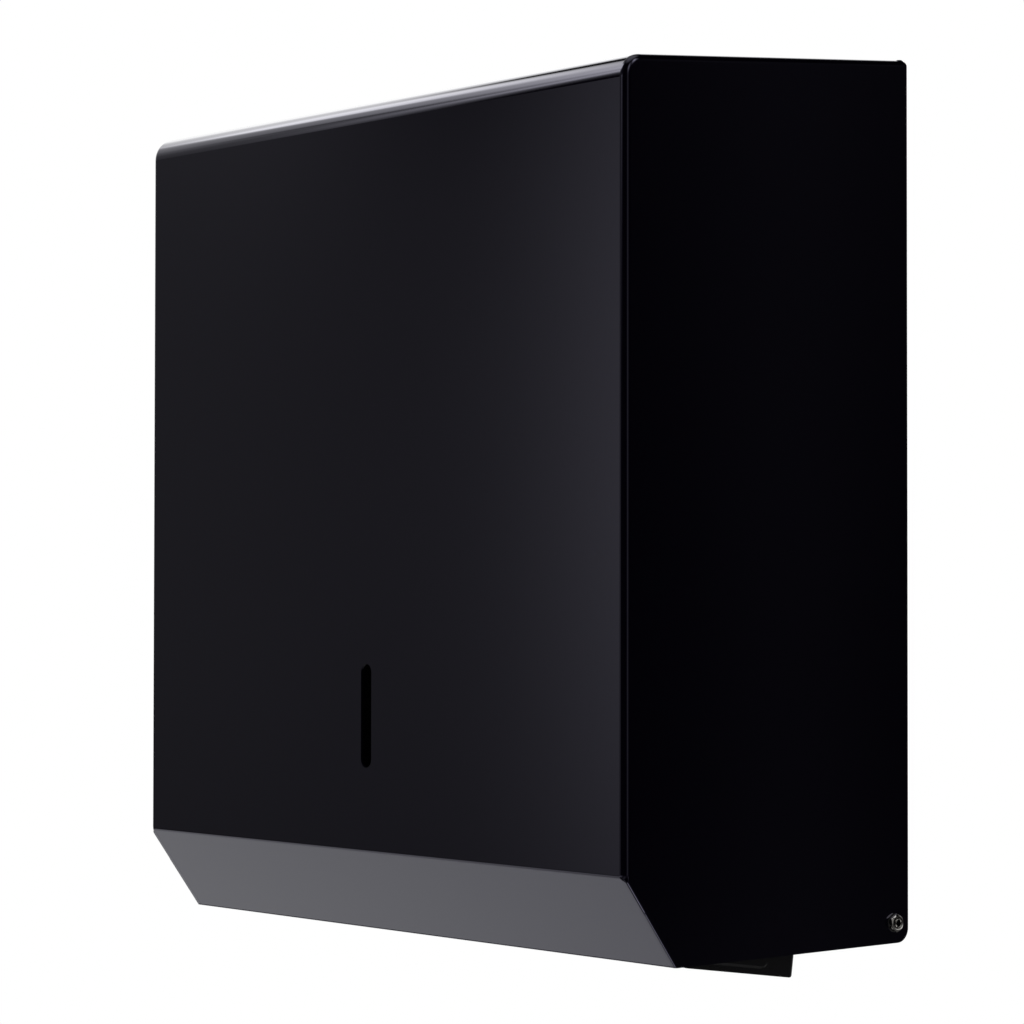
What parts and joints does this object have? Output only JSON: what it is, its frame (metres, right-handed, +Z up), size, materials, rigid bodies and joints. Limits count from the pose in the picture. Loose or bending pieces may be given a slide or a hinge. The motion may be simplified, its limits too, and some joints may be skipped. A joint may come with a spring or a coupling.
{
  "type": "folded paper towel dispenser",
  "caption": "Wall cabinet for folded paper towels: glossy black steel cover that swings down on lower rear pivots, over a back plate with cheeks and an open-bottomed towel tray.",
  "frame": {"origin": "centre of the four wall holes, on the wall plane", "axes": "+X to the right of someone facing the dispenser, +Y into the wall, +Z up"},
  "size_m": [0.2792, 0.131, 0.3122],
  "materials": {
    "cover_gloss_black": "high-gloss black powder coat over steel",
    "base_black": "black powder coat, slightly less glossy",
    "lock_chrome": "bright chrome plate",
    "zinc_plate": "bright zinc plate",
    "pivot_steel": "zinc-plated, turned",
    "rivet_steel": "dull zinc plate",
    "nylon": "natural moulded nylon"
  },
  "bodies": {
    "base": {"back_plate": "base_black", "left_cheek": "base_black", "right_cheek": "base_black", "towel_tray": "base_black", "strike_bracket": "zinc_plate", "left_tray_rivet": "rivet_steel", "right_tray_rivet": "rivet_steel", "left_pivot_screw": "pivot_steel", "right_pivot_screw": "pivot_steel", "left_pivot_nut": "pivot_steel", "right_pivot_nut": "pivot_steel"},
    "cover": {"cover_shell": "cover_gloss_black", "lock_housing": "lock_chrome", "lock_washer": "zinc_plate", "lock_nut": "zinc_plate", "left_pivot_bush": "nylon", "right_pivot_bush": "nylon"},
    "lock": {"lock_plug": "lock_chrome", "lock_cam": "zinc_plate", "cam_screw": "zinc_plate"}
  },
  "joints": [
    {"name": "cover_hinge", "type": "hinge", "parent": "base", "child": "cover", "pos_m": [0, -0.0082, -0.1372], "axis": [1, 0, 0], "range_deg": [0, 88]},
    {"name": "lock_turn", "type": "hinge", "parent": "cover", "child": "lock", "pos_m": [0, -0.04, 0.15646], "axis": [0, 0.0838, -0.9965], "range_deg": [0, 90]}
  ]
}
